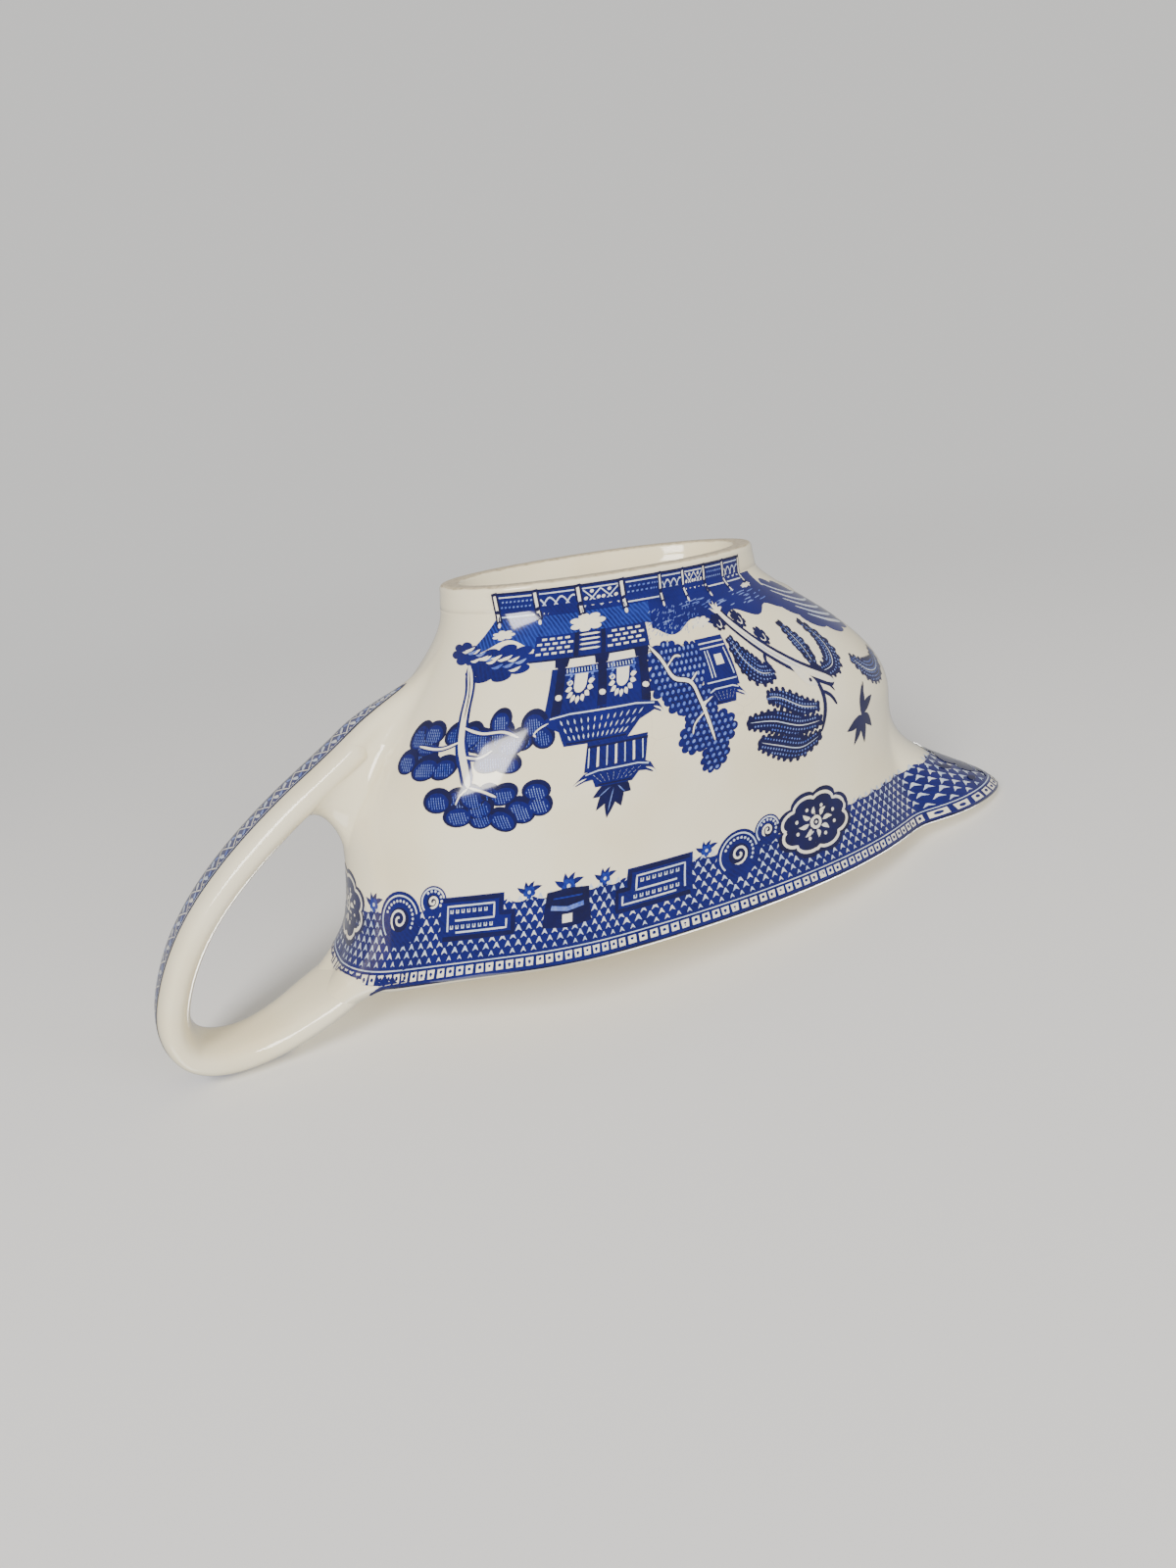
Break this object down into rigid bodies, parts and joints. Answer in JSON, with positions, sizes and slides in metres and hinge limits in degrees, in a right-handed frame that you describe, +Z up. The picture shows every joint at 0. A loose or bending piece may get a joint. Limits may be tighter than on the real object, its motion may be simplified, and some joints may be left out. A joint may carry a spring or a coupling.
{
  "type": "gravy boat",
  "caption": "Oval glazed earthenware gravy boat with a pouring spout, a foot ring and a looped strap handle, printed in blue.",
  "frame": {"origin": "centre of the foot ring's resting face", "axes": "+Z up out of the bowl, +X towards the pouring spout, handle on the -X side, +Y to the left of the pourer's view along +X"},
  "size_m": [0.2126, 0.0778, 0.0922],
  "materials": {
    "glazed_body": "glossy clear glaze over cream earthenware, with cobalt blue transfer prints under the glaze",
    "glazed_slip": "glossy clear glaze over cream luting slip"
  },
  "bodies": {
    "root": {"bowl": "glazed_body", "foot_ring": "glazed_body", "handle": "glazed_body", "upper_handle_joint": "glazed_slip", "lower_handle_joint": "glazed_slip"}
  },
  "joints": []
}
